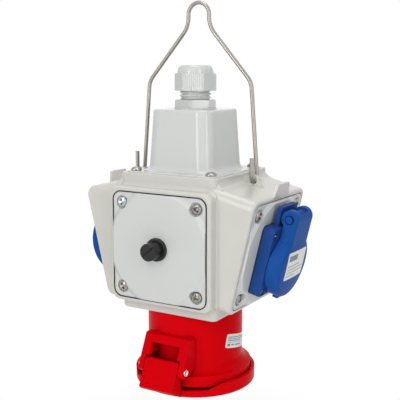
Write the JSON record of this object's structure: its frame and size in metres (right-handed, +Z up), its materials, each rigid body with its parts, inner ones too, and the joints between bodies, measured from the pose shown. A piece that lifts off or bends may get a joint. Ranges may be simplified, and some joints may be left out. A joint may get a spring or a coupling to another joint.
{
  "type": "portable socket box",
  "caption": "Hanging power distribution box with tilted mains sockets under spring lids, a multi-pole socket underneath, a cable gland on top and a wire bail.",
  "frame": {"origin": "middle of the flat underside of the closed bottom lid, which the box stands on", "axes": "+Z up along the gland and bottom socket, -Y towards the front cover with the fuse holder, the mains sockets look towards +X and -X"},
  "size_m": [0.1788, 0.1171, 0.284],
  "materials": {
    "housing_plastic": "moulded, satin, warm light grey",
    "cap_plastic": "moulded, satin, cool light grey",
    "gland_nylon": "moulded, satin",
    "blue_plastic": "moulded, fine grain",
    "red_plastic": "moulded, gloss",
    "black_plastic": "moulded, fine grain",
    "insert_plastic": "moulded",
    "gasket_rubber": "soft, dull",
    "stainless_steel": "drawn wire and pressed heads",
    "nickel_brass": "plated",
    "fuse_glass": "clear"
  },
  "bodies": {
    "box": {"cap_gasket": "gasket_rubber", "cap_screws": "stainless_steel", "cee_body": "red_plastic", "cee_contacts": "nickel_brass", "cee_gasket": "gasket_rubber", "cee_hinge_pin": "stainless_steel", "cee_insert": "insert_plastic", "cee_lid_spring": "stainless_steel", "cee_screws": "stainless_steel", "front_cover": "cap_plastic", "front_plate_gasket": "gasket_rubber", "front_plate_screws": "stainless_steel", "fuse_ferrules": "nickel_brass", "fuse_holder": "black_plastic", "fuse_holder_nut": "black_plastic", "fuse_holder_washer": "gasket_rubber", "fuse_link": "fuse_glass", "gland_body": "gland_nylon", "gland_locknut": "gland_nylon", "gland_seal": "gasket_rubber", "gland_washer": "gasket_rubber", "housing": "housing_plastic", "left_earth_clips": "nickel_brass", "left_hinge_pin": "blue_plastic", "left_lid_spring": "stainless_steel", "left_plate_gasket": "gasket_rubber", "left_plate_screws": "stainless_steel", "left_socket_base": "blue_plastic", "left_socket_contacts": "nickel_brass", "left_socket_gasket": "gasket_rubber", "left_socket_insert": "blue_plastic", "left_socket_plate": "cap_plastic", "left_socket_screws": "stainless_steel", "rear_cover": "cap_plastic", "rear_plate_gasket": "gasket_rubber", "rear_plate_screws": "stainless_steel", "right_earth_clips": "nickel_brass", "right_hinge_pin": "blue_plastic", "right_lid_spring": "stainless_steel", "right_plate_gasket": "gasket_rubber", "right_plate_screws": "stainless_steel", "right_socket_base": "blue_plastic", "right_socket_contacts": "nickel_brass", "right_socket_gasket": "gasket_rubber", "right_socket_insert": "blue_plastic", "right_socket_plate": "cap_plastic", "right_socket_screws": "stainless_steel", "terminal_screws": "nickel_brass", "terminal_strip": "insert_plastic", "top_cap": "cap_plastic"},
    "bail": {"bail": "stainless_steel"},
    "gland_nut": {"gland_dome_nut": "gland_nylon"},
    "fuse_cap": {"fuse_cap": "black_plastic"},
    "left_lid": {"left_lid": "blue_plastic", "left_lid_seal": "gasket_rubber"},
    "right_lid": {"right_lid": "blue_plastic", "right_lid_seal": "gasket_rubber"},
    "cee_lid": {"cee_lid": "red_plastic", "cee_lid_seal": "gasket_rubber"}
  },
  "joints": [
    {"name": "bail_swing", "type": "hinge", "parent": "box", "child": "bail", "pos_m": [0, 0, 0.1554], "axis": [1, 0, 0], "range_deg": [-15, 15]},
    {"name": "left_lid_hinge", "type": "hinge", "parent": "box", "child": "left_lid", "pos_m": [-0.08293, 0, 0.13261], "axis": [0, 1, 0], "range_deg": [0, 110], "stiffness_Nm_per_rad": 0.01, "springref_deg": -85.94},
    {"name": "right_lid_hinge", "type": "hinge", "parent": "box", "child": "right_lid", "pos_m": [0.08293, 0, 0.13261], "axis": [0, -1, 0], "range_deg": [0, 110], "stiffness_Nm_per_rad": 0.01, "springref_deg": -85.94},
    {"name": "cee_lid_hinge", "type": "hinge", "parent": "box", "child": "cee_lid", "pos_m": [0, -0.0458, 0.0206], "axis": [-1, 0, 0], "range_deg": [0, 100], "stiffness_Nm_per_rad": 0.06, "springref_deg": -114.59},
    {"name": "fuse_cap_turn", "type": "hinge", "parent": "box", "child": "fuse_cap", "pos_m": [0, -0.0504, 0.11], "axis": [0, -1, 0], "range_deg": [0, 60]},
    {"name": "gland_nut_turn", "type": "hinge", "parent": "box", "child": "gland_nut", "pos_m": [0, 0, 0.22], "axis": [0, 0, 1], "continuous": true}
  ]
}
